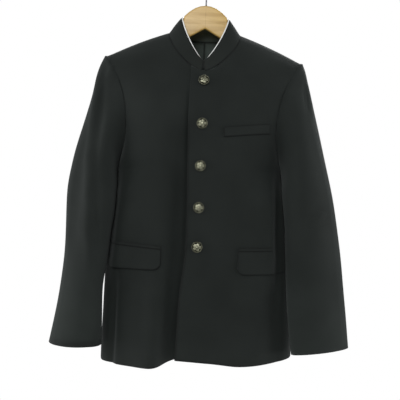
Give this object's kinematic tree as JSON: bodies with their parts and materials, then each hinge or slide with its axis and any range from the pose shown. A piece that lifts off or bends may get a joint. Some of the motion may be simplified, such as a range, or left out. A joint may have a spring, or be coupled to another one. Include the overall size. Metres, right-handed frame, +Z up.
{
  "type": "school uniform jacket on a hanger",
  "caption": "Black stand-collar school uniform jacket with brass buttons, flap pockets and a chest welt, hung on a wooden hanger by a wire hook.",
  "frame": {"origin": "inside top of the hanger's hook, where a rail carries it", "axes": "+X to the wearer's left, +Y to the jacket's back, +Z up"},
  "size_m": [0.606, 0.1777, 0.8096],
  "materials": {
    "wool_body": "matte wool twill",
    "wool_sleeve": "matte wool twill",
    "wool_collar": "firm wool twill",
    "wool_trim": "matte wool twill",
    "white_piping": "smooth white cord",
    "antique_brass": "antique, dark in the recesses",
    "pale_wood": "satin varnish",
    "steel_wire": "bright wire"
  },
  "bodies": {
    "root": {"front_left": "wool_body", "front_right": "wool_body", "back_left": "wool_body", "back_right": "wool_body", "sleeve_left_top": "wool_sleeve", "sleeve_left_under": "wool_sleeve", "sleeve_right_top": "wool_sleeve", "sleeve_right_under": "wool_sleeve", "collar": "wool_collar", "collar_piping": "white_piping", "chest_welt": "wool_trim", "pocket_flap_left": "wool_trim", "pocket_flap_right": "wool_trim", "pocket_jet_left": "wool_trim", "pocket_jet_right": "wool_trim", "button_1": "antique_brass", "button_2": "antique_brass", "button_3": "antique_brass", "button_4": "antique_brass", "button_5": "antique_brass", "hanger_body": "pale_wood", "hanger_hook": "steel_wire"}
  },
  "joints": []
}
